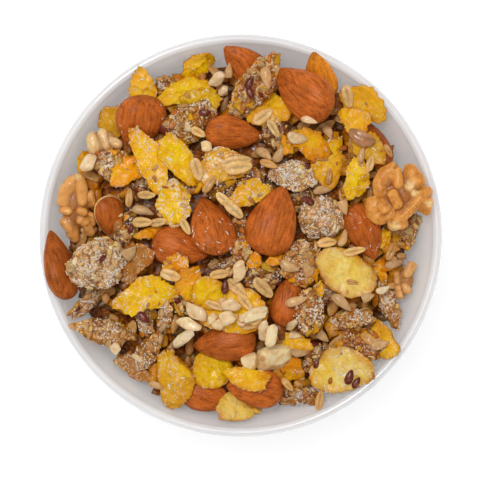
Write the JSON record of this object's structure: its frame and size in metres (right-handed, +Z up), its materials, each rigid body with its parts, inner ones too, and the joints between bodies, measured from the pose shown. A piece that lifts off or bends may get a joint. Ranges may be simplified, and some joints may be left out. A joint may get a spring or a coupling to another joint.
{
  "type": "bowl of granola",
  "caption": "Small white porcelain bowl heaped with crunchy granola: whole almonds, walnut pieces, corn flakes, seed clusters, oats and kernels.",
  "frame": {"origin": "centre of the foot ring, on the plane that the bowl rests on", "axes": "+Z up along the bowl's axis; seen from above, +X is to the right and +Y is up the picture"},
  "size_m": [0.13, 0.13, 0.0699],
  "materials": {
    "porcelain": "smooth white glaze",
    "granola": "toasted, dry, with a thin sugar glaze",
    "almond_skin": "dry ribbed brown skin",
    "walnut_kernel": "papery golden skin in folds"
  },
  "bodies": {
    "root": {"bowl": "porcelain", "granola_heap": "granola", "almond_01": "almond_skin", "almond_02": "almond_skin", "almond_03": "almond_skin", "almond_04": "almond_skin", "almond_05": "almond_skin", "almond_06": "almond_skin", "almond_07": "almond_skin", "almond_08": "almond_skin", "almond_09": "almond_skin", "almond_10": "almond_skin", "almond_11": "almond_skin", "almond_12": "almond_skin", "almond_13": "almond_skin", "almond_14": "almond_skin", "almond_15": "almond_skin", "almond_16": "almond_skin", "walnut_1": "walnut_kernel", "walnut_2": "walnut_kernel", "walnut_3": "walnut_kernel", "walnut_4": "walnut_kernel", "walnut_5": "walnut_kernel"}
  },
  "joints": []
}
